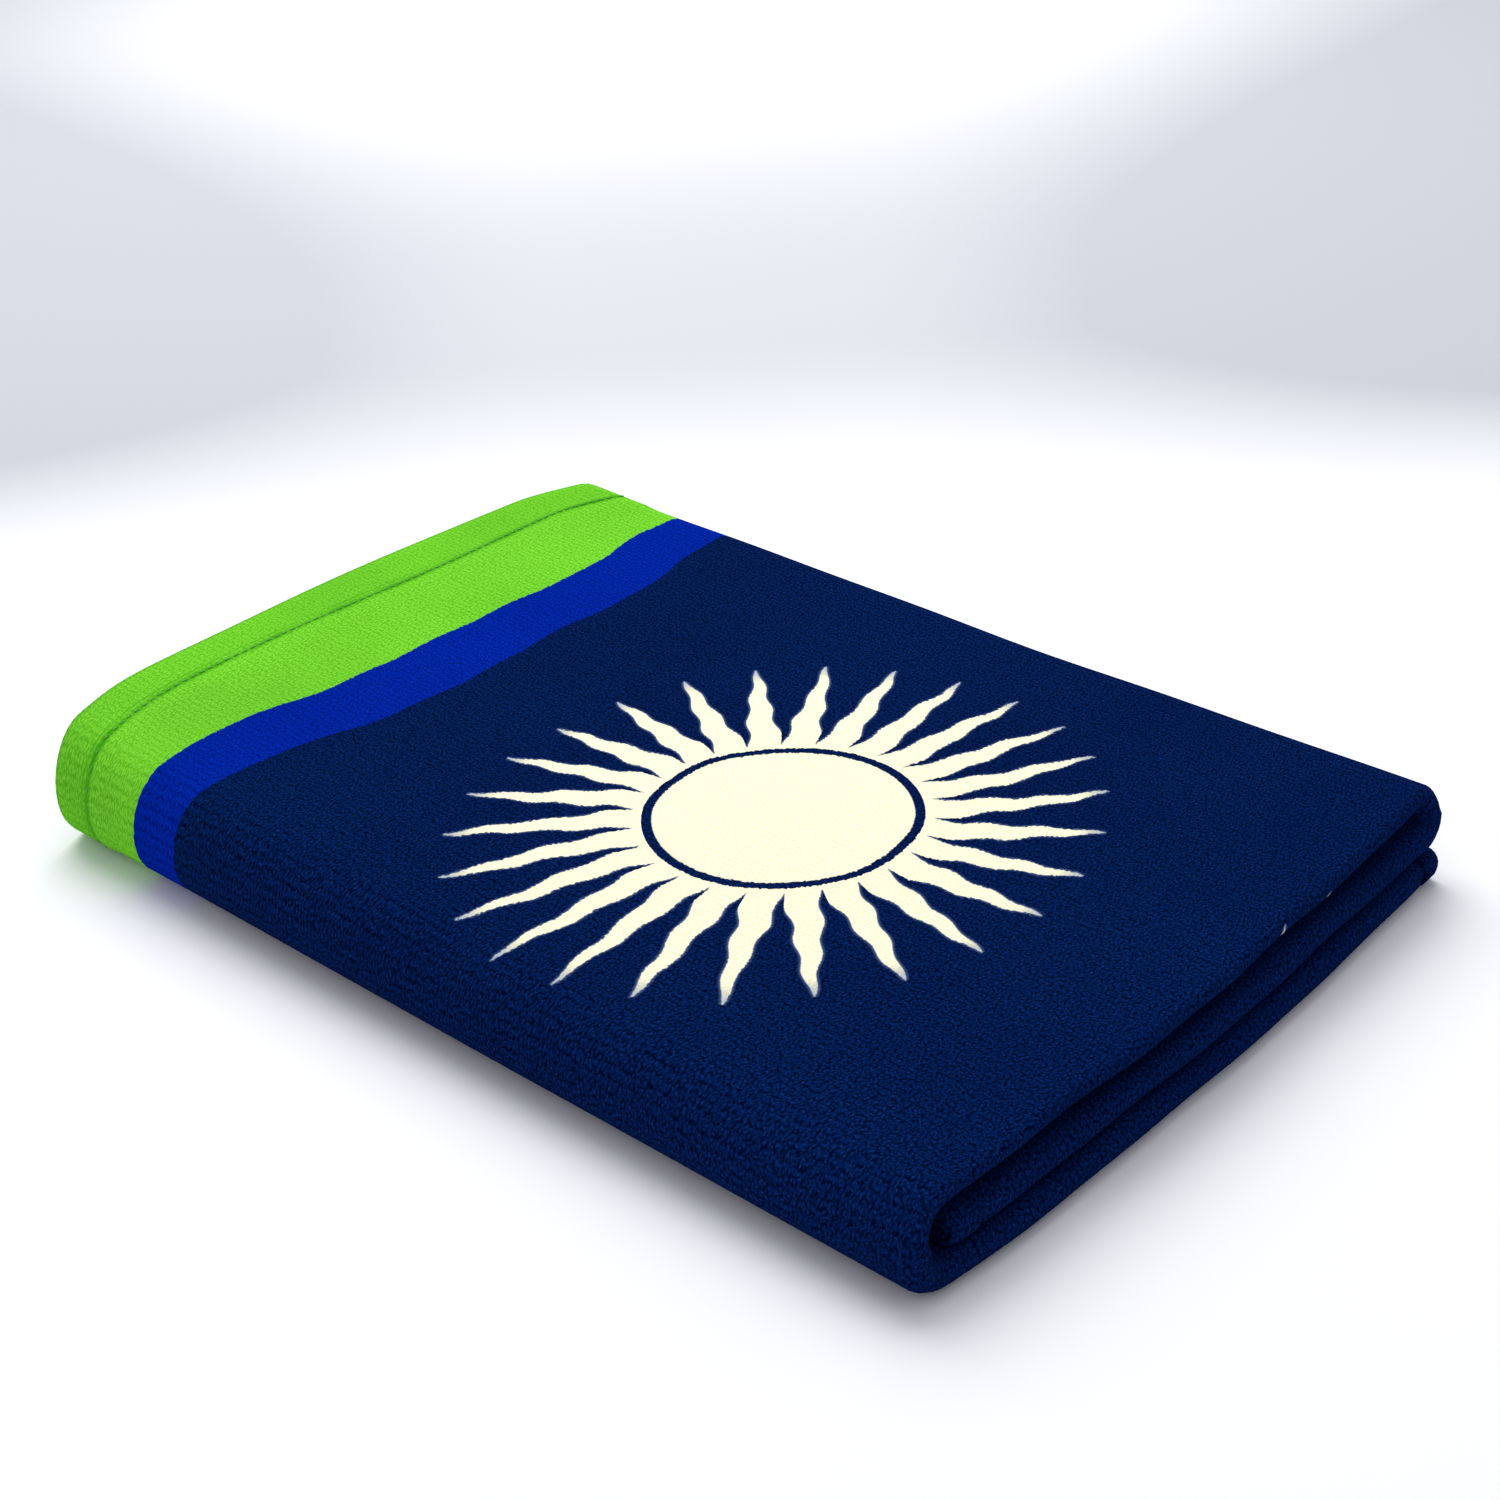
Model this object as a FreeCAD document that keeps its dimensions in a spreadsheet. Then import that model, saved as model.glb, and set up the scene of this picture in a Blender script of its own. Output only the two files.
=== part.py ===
"""A folded travel towel: one terry sheet, its hems, its seam threads and its care label.

Model frame: millimetres, +Z up, origin at the middle of the underside of the folded
towel. +X runs along the folded length to the end that shows only folds, and -Y points
at the long side with the one tall fold.

The sheet is folded twice:
- crosswise, in half and in half again, which makes a packet of four quarters;
- lengthwise in thirds: the middle third lies on top, one third is tucked under it
  through the rear fold, and the last is wrapped round the front and lies underneath.

A depth is measured from the outer face of the packet towards its inner face.
"""
import FreeCAD, Part

import math
import os

import Sketcher

# Driving sizes, in millimetres unless the name says otherwise.
SIZES = {
    "folded_length": 382.0,  # along X, fold to hem
    "folded_width": 250.0,  # along Y, front fold to rear fold
    "ply": 2.45,  # one thickness of terry cloth, lightly pressed
    "packet_gap": 0.2,  # air between two packets
    "end_hem": 22.0,  # turned hem at each end of the sheet
    "green_band": 64.0,  # green end of the sheet, its hem included
    "blue_stripe": 29.5,
    "side_hem": 8.0,  # turned hem along each side of the sheet
    "seam_slot": 0.6,  # line that a seam presses into the pile
    "tucked_edge": 109.0,  # free side edge inside, from the middle towards the front
    "rear_edge": 122.0,  # free side edge underneath, from the middle towards the rear
    "sun_x": 42.9,  # middle of the sun
    "sun_y": -14.0,
    "disc_radius": 37.4,
    "ring_width": 3.0,  # dark ring round the disc
    "ray_foot": 2.2,  # cream band that joins the feet of the rays
    "ray_tip_radius": 95.0,
    "ray_half_width": 4.8,
    "ray_sway": 0.8,  # how far a ray swings to each side
    "ray_count": 26.0,
    "pile_rise": 0.3,  # cream pile stands this much above the dark pile
    "label_width": 32.0,
    "label_drop": 8.2,
    "label_ply": 0.4,
    "label_x": -120.0,
    "label_tack": 2.0,  # length of one stitch that holds the label
}

RAY_WAVES = 3.2  # swings of a ray from its foot to its tip
RAY_STATIONS = 26  # points on each side of a ray's outline

doc = FreeCAD.newDocument("folded_towel")
sheet = doc.addObject("Spreadsheet::Sheet", "Sizes")


def fill_sheet():
    """Put every driving size in its own named cell."""
    for row, (alias, value) in enumerate(SIZES.items(), start=1):
        sheet.set(f"A{row}", alias)
        sheet.set(f"B{row}", str(value))
        sheet.setAlias(f"B{row}", alias)
    doc.recompute()


def cell(formula):
    """Turn words of the formula that are cell names into references to the sheet."""
    words = formula.split()
    return " ".join(f"Sizes.{word}" if word in SIZES else word for word in words)


def value(formula):
    """Work the formula out now, for the first place of a sketch's geometry."""
    return float(sheet.evalExpression(cell(formula)))


# Heights and places that several pieces share, as formulas on the cells.
PACKET = "4 * ply"
REAR_RADIUS = "( 4 * ply + packet_gap ) / 2"
FRONT_RADIUS = "4 * ply + packet_gap"
MIDDLE_PLANE = "6 * ply + packet_gap"
REAR_CENTRE = "folded_width / 2 - 4 * ply - packet_gap / 2"
FRONT_CENTRE = "6 * ply + packet_gap - folded_width / 2"
TOP = "12 * ply + 2 * packet_gap"
RIGHT_CENTRE = "folded_length / 2 - 2 * ply"
LEFT_CENTRE = "ply - folded_length / 2"
HEM_LINE = "end_hem - folded_length / 2"
BLUE_EDGE = "green_band - folded_length / 2"
FIELD_EDGE = "green_band + blue_stripe - folded_length / 2"
CLOTH_START = "side_hem - tucked_edge"
CLOTH_END = "rear_edge - side_hem"
SLOT = "seam_slot / 2"


def profile_sketch(body, name, plane_role, offset_formula=None):
    """Add a sketch on one of the body's own planes, moved along its normal."""
    sketch = body.newObject("Sketcher::SketchObject", name)
    plane = next(f for f in body.Origin.OriginFeatures if f.Role == plane_role)
    sketch.AttachmentSupport = [(plane, "")]
    sketch.MapMode = "FlatFace"
    if offset_formula is not None:
        sketch.setExpression("AttachmentOffset.Base.z", cell(offset_formula))
    return sketch


def pin(sketch, element, point, across=None, up=None):
    """Fix a point of the sketch's geometry at places given by formulas."""
    for kind, formula in (("DistanceX", across), ("DistanceY", up)):
        if formula is not None:
            index = sketch.addConstraint(Sketcher.Constraint(kind, element, point, value(formula)))
            sketch.setExpression(f"Constraints[{index}]", cell(formula))


def set_radius(sketch, element, formula):
    """Give an arc or a circle its radius by a formula."""
    index = sketch.addConstraint(Sketcher.Constraint("Radius", element, value(formula)))
    sketch.setExpression(f"Constraints[{index}]", cell(formula))


def line(sketch, start, end):
    """Draw a straight line between two points of the sketch."""
    return sketch.addGeometry(Part.LineSegment(FreeCAD.Vector(*start, 0), FreeCAD.Vector(*end, 0)))


def arc(sketch, centre, radius, start_degrees, end_degrees):
    """Draw an arc that turns anticlockwise between two angles."""
    circle = Part.Circle(FreeCAD.Vector(*centre, 0), FreeCAD.Vector(0, 0, 1), radius)
    angles = math.radians(start_degrees), math.radians(end_degrees)
    return sketch.addGeometry(Part.ArcOfCircle(circle, *angles))


def third_fold_path(body):
    """Draw the packet's middle line: tucked third, rear fold, top, front fold, underside."""
    sketch = profile_sketch(body, f"{body.Name}_path", "YZ_Plane")
    rear, front = value(REAR_RADIUS), value(FRONT_RADIUS)
    rear_y, front_y, low = value(REAR_CENTRE), value(FRONT_CENTRE), value(MIDDLE_PLANE)
    upper, bottom = low + 2 * rear, low + 2 * rear - 2 * front
    tucked = line(sketch, (value(CLOTH_START), low), (rear_y, low))
    rear_arc = arc(sketch, (rear_y, low + rear), rear, -90, 90)
    top = line(sketch, (rear_y, upper), (front_y, upper))
    front_arc = arc(sketch, (front_y, upper - front), front, 90, 270)
    underside = line(sketch, (front_y, bottom), (value(CLOTH_END), bottom))
    joints = (
        (tucked, 2, rear_arc, 1),
        (rear_arc, 2, top, 1),
        (top, 2, front_arc, 1),
        (front_arc, 2, underside, 1),
    )
    for joint in joints:
        sketch.addConstraint(Sketcher.Constraint("Tangent", *joint))
    sketch.addConstraint(Sketcher.Constraint("Horizontal", tucked))
    pin(sketch, tucked, 1, CLOTH_START, MIDDLE_PLANE)
    pin(sketch, rear_arc, 3, REAR_CENTRE)
    pin(sketch, front_arc, 3, FRONT_CENTRE)
    pin(sketch, underside, 2, CLOTH_END)
    set_radius(sketch, rear_arc, REAR_RADIUS)
    set_radius(sketch, front_arc, FRONT_RADIUS)
    return sketch


def packet_height(depth):
    """Height of a depth in the tucked third, where the outer face is the lower one."""
    return f"4 * ply + packet_gap + {depth}"


def draw_box(sketch, left, right, low, high):
    """Draw a rectangle with its four sides at places given by formulas."""
    x0, x1, z0, z1 = (value(formula) for formula in (left, right, low, high))
    corners = [(x0, z0), (x1, z0), (x1, z1), (x0, z1)]
    sides = [line(sketch, corners[i], corners[(i + 1) % 4]) for i in range(4)]
    for i, direction in enumerate(("Horizontal", "Vertical", "Horizontal", "Vertical")):
        sketch.addConstraint(Sketcher.Constraint("Coincident", sides[i], 2, sides[(i + 1) % 4], 1))
        sketch.addConstraint(Sketcher.Constraint(direction, sides[i]))
    pin(sketch, sides[0], 1, left, low)
    pin(sketch, sides[2], 1, right, high)


def draw_half_turn(sketch, centre_x, centre_z, outer, inner, side):
    """Draw a half disc or half ring that bulges to the right (side 1) or left (side -1)."""
    x, z, big = value(centre_x), value(centre_z), value(outer)
    angles = (-90, 90) if side > 0 else (90, 270)
    first, last = (-1, 1) if side > 0 else (1, -1)
    outer_arc = arc(sketch, (x, z), big, *angles)
    edges = [outer_arc]
    if inner is None:
        edges.append(line(sketch, (x, z + last * big), (x, z + first * big)))
        sketch.addConstraint(Sketcher.Constraint("Coincident", outer_arc, 2, edges[1], 1))
        sketch.addConstraint(Sketcher.Constraint("Coincident", edges[1], 2, outer_arc, 1))
        sketch.addConstraint(Sketcher.Constraint("PointOnObject", outer_arc, 3, edges[1]))
        sketch.addConstraint(Sketcher.Constraint("Vertical", edges[1]))
    else:
        small = value(inner)
        inner_arc = arc(sketch, (x, z), small, *angles)
        upper = line(sketch, (x, z + last * big), (x, z + last * small))
        lower = line(sketch, (x, z + first * small), (x, z + first * big))
        joints = (
            (outer_arc, 2, upper, 1),
            (upper, 2, inner_arc, 2),
            (inner_arc, 1, lower, 1),
            (lower, 2, outer_arc, 1),
            (outer_arc, 3, inner_arc, 3),
        )
        for joint in joints:
            sketch.addConstraint(Sketcher.Constraint("Coincident", *joint))
        sketch.addConstraint(Sketcher.Constraint("Vertical", upper))
        sketch.addConstraint(Sketcher.Constraint("Vertical", lower))
        set_radius(sketch, inner_arc, inner)
    pin(sketch, outer_arc, 3, centre_x, centre_z)
    set_radius(sketch, outer_arc, outer)


def folded_piece(label, draw, *formulas):
    """Sweep a profile of the packet along the fold in thirds, as a body of its own."""
    body = doc.addObject("PartDesign::Body", label)
    body.Label = label
    path = third_fold_path(body)
    profile = profile_sketch(body, f"{label}_profile", "XZ_Plane", f"-1 * ( {CLOTH_START} )")
    draw(profile, *formulas)
    doc.recompute()
    sweep = body.newObject("PartDesign::AdditivePipe", f"{label}_sweep")
    sweep.Profile = profile
    sweep.Spine = (path, [f"Edge{n + 1}" for n in range(path.GeometryCount)])
    doc.recompute()
    return body


def cloth_strip(label, left, right, quarter):
    """Make one stretch of one quarter of the sheet; the outer quarter is number 1."""
    low = packet_height(f"{quarter - 1} * ply")
    high = packet_height(f"{quarter} * ply")
    return folded_piece(label, draw_box, left, right, low, high)


def cross_fold(label, centre_x, depth, outer, inner, side):
    """Make a crosswise fold, where one quarter of the sheet turns into the next."""
    height = packet_height(depth)
    return folded_piece(label, draw_half_turn, centre_x, height, outer, inner, side)


def draw_round(sketch, centre_x, centre_z, radius):
    """Draw a full circle at places given by formulas."""
    centre = FreeCAD.Vector(value(centre_x), value(centre_z), 0)
    circle = sketch.addGeometry(Part.Circle(centre, FreeCAD.Vector(0, 0, 1), value(radius)))
    pin(sketch, circle, 3, centre_x, centre_z)
    set_radius(sketch, circle, radius)


def padded_bar(label, plane_role, start, depth, draw, *formulas):
    """Pad a profile away from its plane: along -Y from XZ, along +Z from XY."""
    body = doc.addObject("PartDesign::Body", label)
    body.Label = label
    profile = profile_sketch(body, f"{label}_profile", plane_role, start)
    draw(profile, *formulas)
    pad = body.newObject("PartDesign::Pad", f"{label}_pad")
    pad.Profile = profile
    pad.setExpression("Length", cell(depth))
    doc.recompute()
    return body


def draw_rounded_packet(sketch, low):
    """Draw the outline of the whole packet seen from its side: a bar with round ends."""
    z0, z1 = value(low), value(f"{low} + {PACKET}")
    right = value(RIGHT_CENTRE)
    middle = (z0 + z1) / 2
    radius = (z1 - z0) / 2
    lower = line(sketch, (-right, z0), (right, z0))
    right_arc = arc(sketch, (right, middle), radius, -90, 90)
    upper = line(sketch, (right, z1), (-right, z1))
    left_arc = arc(sketch, (-right, middle), radius, 90, 270)
    ring = (lower, right_arc, upper, left_arc)
    for first, second in zip(ring, ring[1:] + ring[:1]):
        sketch.addConstraint(Sketcher.Constraint("Tangent", first, 2, second, 1))
    pin(sketch, right_arc, 3, RIGHT_CENTRE, f"{low} + {PACKET} / 2")
    pin(sketch, left_arc, 3, f"-1 * ( {RIGHT_CENTRE} )")
    set_radius(sketch, right_arc, f"{PACKET} / 2")


def make_cloth():
    """Make the sheet: four quarters, their coloured stretches and their crosswise folds."""
    hem_start = "0 - folded_length / 2"
    return [
        cloth_strip("outer_end_hem", hem_start, f"{HEM_LINE} - {SLOT}", 1),
        cloth_strip("green_end_band", f"{HEM_LINE} + {SLOT}", BLUE_EDGE, 1),
        cloth_strip("blue_stripe", BLUE_EDGE, FIELD_EDGE, 1),
        cloth_strip("navy_field", FIELD_EDGE, RIGHT_CENTRE, 1),
        cross_fold("outer_right_fold", RIGHT_CENTRE, "2 * ply", "2 * ply", "ply", 1),
        cloth_strip("inner_end_hem", hem_start, f"{HEM_LINE} - {SLOT}", 2),
        cloth_strip("inner_green_band", f"{HEM_LINE} + {SLOT}", BLUE_EDGE, 2),
        cloth_strip("inner_blue_stripe", BLUE_EDGE, FIELD_EDGE, 2),
        cloth_strip("second_quarter", FIELD_EDGE, RIGHT_CENTRE, 2),
        cross_fold("inner_right_fold", RIGHT_CENTRE, "2 * ply", "ply", None, 1),
        cloth_strip("third_quarter", LEFT_CENTRE, RIGHT_CENTRE, 3),
        cloth_strip("fourth_quarter", LEFT_CENTRE, RIGHT_CENTRE, 4),
        cross_fold("left_middle_fold", LEFT_CENTRE, "3 * ply", "ply", None, -1),
    ]


def make_hems_and_threads():
    """Make the side hems, which lie as four stacked runs, and every seam's thread."""
    outer_height = packet_height(SLOT)
    inner_height = packet_height(f"ply + {SLOT}")
    thread_run = "folded_length - 4 * ply"
    tucked_line = f"{CLOTH_START} - {SLOT}"
    rear_line = f"{CLOTH_END} + {SLOT}"
    pieces = [
        folded_piece("outer_hem_thread", draw_round, HEM_LINE, outer_height, SLOT),
        folded_piece("inner_hem_thread", draw_round, HEM_LINE, inner_height, SLOT),
        padded_bar(
            "tucked_side_hem", "XZ_Plane", f"seam_slot - ( {CLOTH_START} )", "side_hem - seam_slot",
            draw_rounded_packet, packet_height("0 * ply"),
        ),
        padded_bar(
            "rear_side_hem", "XZ_Plane", "0 - rear_edge", "side_hem - seam_slot",
            draw_rounded_packet, "0 * ply",
        ),
    ]
    # The side seams run lengthwise in the slots between the sheet and its side hems.
    for label, across, height in (
        ("tucked_side_thread", tucked_line, f"{MIDDLE_PLANE} + 2 * ply - {SLOT}"),
        ("rear_side_thread", rear_line, f"4 * ply - {SLOT}"),
    ):
        body = doc.addObject("PartDesign::Body", label)
        body.Label = label
        profile = profile_sketch(body, f"{label}_profile", "YZ_Plane", f"0 - ( {thread_run} ) / 2")
        draw_round(profile, across, height, SLOT)
        pad = body.newObject("PartDesign::Pad", f"{label}_pad")
        pad.Profile = profile
        pad.setExpression("Length", cell(thread_run))
        doc.recompute()
        pieces.append(body)
    return pieces


def make_label():
    """Make the blank care label at the rear free edge and the two stitches that hold it."""
    left, right = "label_x - label_width / 2", "label_x + label_width / 2"
    low, high = "4 * ply - label_drop", "4 * ply"
    label = padded_bar(
        "care_label", "XZ_Plane", "0 - rear_edge - label_ply", "label_ply",
        draw_box, left, right, low, high,
    )
    stitches = doc.addObject("PartDesign::Body", "label_stitches")
    stitches.Label = "label_stitches"
    profile = profile_sketch(
        stitches, "label_stitches_profile", "XZ_Plane", "0 - rear_edge - label_ply - seam_slot"
    )
    height = f"{high} - label_tack"
    for start in (f"{left} + label_tack", f"{right} - 2 * label_tack"):
        draw_box(profile, start, f"{start} + label_tack", height, f"{height} + seam_slot")
    pad = stitches.newObject("PartDesign::Pad", "label_stitches_pad")
    pad.Profile = profile
    pad.setExpression("Length", cell("seam_slot"))
    doc.recompute()
    return [label, stitches]


def ray_outline(foot_radius, tip_radius, half_width, sway):
    """Work out one wavy ray that points along +X: its two sides, foot to tip."""
    sides = ([], [])
    for station in range(RAY_STATIONS + 1):
        along = station / RAY_STATIONS
        radius = foot_radius + along * (tip_radius - foot_radius)
        swing = sway * math.cos(2 * math.pi * RAY_WAVES * along) * (1 - 0.5 * along)
        middle = swing - sway * (1 - along)  # a ray leans a little from its foot to its tip
        width = half_width * (1 - along) ** 0.66
        for side, sign in zip(sides, (1, -1)):
            side.append(FreeCAD.Vector(radius, middle + sign * width, 0))
    return sides


def make_sun():
    """Make the cream disc and the cream rays, which stand a little above the dark pile."""
    size = {name: sheet.get(name) for name in SIZES}
    centre = FreeCAD.Vector(size["sun_x"], size["sun_y"], value(TOP))
    disc = doc.addObject("Part::Cylinder", "sun_disc")
    disc.Label = "sun_disc"
    disc.setExpression("Radius", cell("disc_radius"))
    disc.setExpression("Height", cell("pile_rise"))
    for axis, formula in (("x", "sun_x"), ("y", "sun_y"), ("z", TOP)):
        disc.setExpression(f"Placement.Base.{axis}", cell(formula))

    ring_radius = size["disc_radius"] + size["ring_width"]
    foot_radius = ring_radius + size["ray_foot"]
    rise = size["pile_rise"]
    outer_band = Part.makeCylinder(foot_radius, rise)
    band = outer_band.cut(Part.makeCylinder(ring_radius, rise))
    inside = ring_radius + size["ray_foot"] / 2  # the foot of a ray is sunk in the band
    left, right = ray_outline(inside, size["ray_tip_radius"], size["ray_half_width"], size["ray_sway"])
    edges = []
    for side in (left, right):
        curve = Part.BSplineCurve()
        curve.interpolate(side)
        edges.append(curve.toShape())
    foot = Part.makeLine(left[0], right[0])
    ray = Part.Face(Part.Wire(Part.__sortEdges__([*edges, foot]))).extrude(FreeCAD.Vector(0, 0, rise))
    count = int(size["ray_count"])
    rays = [
        ray.rotated(FreeCAD.Vector(0, 0, 0), FreeCAD.Vector(0, 0, 1), 360 * (n + 0.25) / count)
        for n in range(count)
    ]
    feature = doc.addObject("Part::Feature", "sun_rays")
    feature.Label = "sun_rays"
    feature.Shape = band.fuse(rays).removeSplitter()
    feature.Placement = FreeCAD.Placement(centre, FreeCAD.Rotation())
    doc.recompute()
    return [disc, feature]


def check_objects(pieces):
    """Stop if any object failed to build or any piece has no valid solid."""
    for item in doc.Objects:
        if {"Invalid", "Error"} & set(item.State):
            raise RuntimeError(f"{item.Label} failed: {item.State}")
    for piece in pieces:
        if piece.Shape.isNull() or not piece.Shape.isValid() or not piece.Shape.Solids:
            raise RuntimeError(f"{piece.Label} has no valid solid")


def write_parts(pieces):
    """Write one STEP file for each piece, named after its label."""
    os.makedirs("parts", exist_ok=True)
    for piece in pieces:
        piece.Shape.exportStep(f"parts/{piece.Label}.step")
        box = piece.Shape.BoundBox
        print(
            f"{piece.Label:20s} {len(piece.Shape.Solids):3d} solid(s) {piece.Shape.Volume:12.1f} mm3"
            f"  x {box.XMin:7.1f} {box.XMax:7.1f}  y {box.YMin:7.1f} {box.YMax:7.1f}"
            f"  z {box.ZMin:5.1f} {box.ZMax:5.1f}"
        )


fill_sheet()
pieces = make_cloth() + make_hems_and_threads() + make_label() + make_sun()
check_objects(pieces)
write_parts(pieces)
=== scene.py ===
"""A folded travel towel: one terry sheet in its folds, its sewn seams and its care label.

The sheet is built flat in two measures, along its length and across its width. The crosswise folds
say where each point along the length lies in a packet of four plies, and the folds in thirds then
carry that packet round its two long folds. The main sizes come from the frame's own nodes.
"""
import logging
import math
from dataclasses import dataclass, field
from enum import Enum

import bpy
import numpy as np
from mathutils import Matrix, Vector


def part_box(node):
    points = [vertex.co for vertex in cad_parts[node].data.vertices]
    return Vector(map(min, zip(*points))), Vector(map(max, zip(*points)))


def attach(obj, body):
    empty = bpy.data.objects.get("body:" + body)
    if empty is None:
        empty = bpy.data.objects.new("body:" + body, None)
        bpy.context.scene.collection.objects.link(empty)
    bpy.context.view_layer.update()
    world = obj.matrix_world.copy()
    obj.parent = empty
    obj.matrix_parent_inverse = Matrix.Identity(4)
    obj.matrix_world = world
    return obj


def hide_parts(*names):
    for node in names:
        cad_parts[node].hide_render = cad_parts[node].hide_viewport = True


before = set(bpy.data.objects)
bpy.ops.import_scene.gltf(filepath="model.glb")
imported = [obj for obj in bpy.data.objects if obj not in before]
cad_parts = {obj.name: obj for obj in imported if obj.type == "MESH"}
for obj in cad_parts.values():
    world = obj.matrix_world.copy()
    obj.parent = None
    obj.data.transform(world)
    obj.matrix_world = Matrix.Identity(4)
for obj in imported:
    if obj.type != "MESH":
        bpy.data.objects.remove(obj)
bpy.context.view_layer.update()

LOG = logging.getLogger("towel")
MM = 0.001
ROW_HASH = 12.9898
GOLDEN_ANGLE = 2.399
Colour = tuple[float, float, float, float]
Span = tuple[float, float]
Spot = tuple[float, float, float]


class Slot(Enum):
    """The record's material slots."""

    NAVY = "navy_terry"
    GREEN_THREAD = "green_thread"
    NAVY_THREAD = "navy_thread"
    LABEL = "label_satin"


# ---- shader helpers


class Value:
    """A shader socket that carries a number, with Python operators that add Math nodes."""

    def __init__(self, kit: "NodeKit", socket: bpy.types.NodeSocket) -> None:
        """Keep the node kit and the socket."""
        self.kit = kit
        self.socket = socket

    def _math(self, operation: str, *terms: object) -> "Value":
        """Add one Math node and return its result."""
        inputs = dict(enumerate(terms))
        return self.kit.add("ShaderNodeMath", {"operation": operation}, inputs).out()

    def __add__(self, other: object) -> "Value":
        """Add."""
        return self._math("ADD", self, other)

    __radd__ = __add__

    def __sub__(self, other: object) -> "Value":
        """Subtract."""
        return self._math("SUBTRACT", self, other)

    def __rsub__(self, other: object) -> "Value":
        """Subtract this from a number."""
        return self._math("SUBTRACT", other, self)

    def __mul__(self, other: object) -> "Value":
        """Multiply."""
        return self._math("MULTIPLY", self, other)

    __rmul__ = __mul__

    def __truediv__(self, other: object) -> "Value":
        """Divide."""
        return self._math("DIVIDE", self, other)

    def __pow__(self, other: object) -> "Value":
        """Raise to a power."""
        return self._math("POWER", self, other)

    def __lt__(self, other: object) -> "Value":
        """Give 1 where this is the smaller."""
        return self._math("LESS_THAN", self, other)

    def __gt__(self, other: object) -> "Value":
        """Give 1 where this is the larger."""
        return self._math("GREATER_THAN", self, other)

    def __abs__(self) -> "Value":
        """Drop the sign."""
        return self._math("ABSOLUTE", self)

    def apply(self, operation: str, *others: object) -> "Value":
        """Use any other operation of the Math node on this value."""
        return self._math(operation, self, *others)

    def step(self, low: float, high: float) -> "Value":
        """Rise smoothly from 0 at low to 1 at high."""
        settings = {"interpolation_type": "SMOOTHSTEP", "clamp": True}
        inputs = {"Value": self, "From Min": low, "From Max": high}
        return self.kit.add("ShaderNodeMapRange", settings, inputs).out()


@dataclass
class Made:
    kit: "NodeKit"
    node: bpy.types.Node

    def out(self, name: str | int = 0) -> Value:
        """Return an output socket as a value."""
        return Value(self.kit, self.node.outputs[name])


class NodeKit:
    """Builds one material's nodes."""

    def __init__(self, name: str) -> None:
        """Start an empty node material.

        Args:
            name: The material's name.
        """
        self.material = bpy.data.materials.new(name)
        self.material.use_nodes = True
        self.tree = self.material.node_tree
        self.tree.nodes.clear()

    def add(self, kind: str, settings: dict | None = None, inputs: dict | None = None) -> Made:
        """Add a node, set it up and feed its sockets.

        Args:
            kind: The node's type.
            settings: Properties of the node, set first.
            inputs: Values or links by socket name or number.

        Returns:
            The node that was made.
        """
        node = self.tree.nodes.new(kind)
        for key, setting in (settings or {}).items():
            setattr(node, key, setting)
        for key, item in (inputs or {}).items():
            socket = node.inputs[key]
            if isinstance(item, Value):
                self.tree.links.new(item.socket, socket)
            else:
                socket.default_value = item
        return Made(self, node)

    def mix(self, share: object, first: object, second: object) -> Value:
        """Mix two colours by a share from 0 to 1."""
        inputs = {0: share, 6: first, 7: second}
        return self.add("ShaderNodeMix", {"data_type": "RGBA"}, inputs).out(2)

    def noise(self, vector: Value, scale: float, detail: float = 2.0) -> Value:
        """Return a noise pattern from 0 to 1 on the given coordinates."""
        inputs = {"Vector": vector, "Scale": scale, "Detail": detail}
        return self.add("ShaderNodeTexNoise", {}, inputs).out("Fac")

    def surface(self, constants: dict, links: dict) -> bpy.types.Material:
        """Finish the material with a Principled shader.

        Args:
            constants: Sockets that keep one value all over.
            links: Sockets that change over the surface.

        Returns:
            The finished material.
        """
        shader = self.add("ShaderNodeBsdfPrincipled", {}, {**constants, **links})
        output = self.add("ShaderNodeOutputMaterial")
        self.tree.links.new(shader.node.outputs[0], output.node.inputs[0])
        return self.material


# ---- the towel's pattern


@dataclass(frozen=True)
class Yarn:
    """One dyed yarn: the colour of its loops' tips, and a darker copy for the gaps between them that
    is painted shade.
    """

    tip: Colour
    # The gap colour is painted shade: the tip's colour darkened where the loops would shade each
    # other.
    gap: Colour


@dataclass(frozen=True)
class Palette:
    """The four yarns of the sheet with painted shade in their gaps, and the tints for painted
    highlight specks, mixed loops, painted shade in the seam's groove and painted shade where the nap
    lies another way.
    """

    green: Yarn = Yarn((0.237, 0.745, 0.045, 1), (0.115, 0.49, 0.014, 1))
    blue: Yarn = Yarn((0.0005, 0.026, 0.42, 1), (0.0, 0.009, 0.20, 1))
    navy: Yarn = Yarn((0.0014, 0.0165, 0.105, 1), (0.0, 0.0030, 0.024, 1))
    cream: Yarn = Yarn((1.0, 0.98, 0.76, 1), (0.93, 0.88, 0.60, 1))
    # Painted highlight: pale blue specks on the navy loops.
    highlight_fleck: Colour = (0.009, 0.042, 0.21, 1)
    mixed_loops: Colour = (0.16, 0.26, 0.50, 1)
    # Painted shade in the seam's groove.
    groove: Colour = (0.035, 0.30, 0.004, 1)
    # Painted shade for pile that lies another way.
    laid_nap_shade: Colour = (0.55, 0.6, 0.68, 1)


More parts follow.
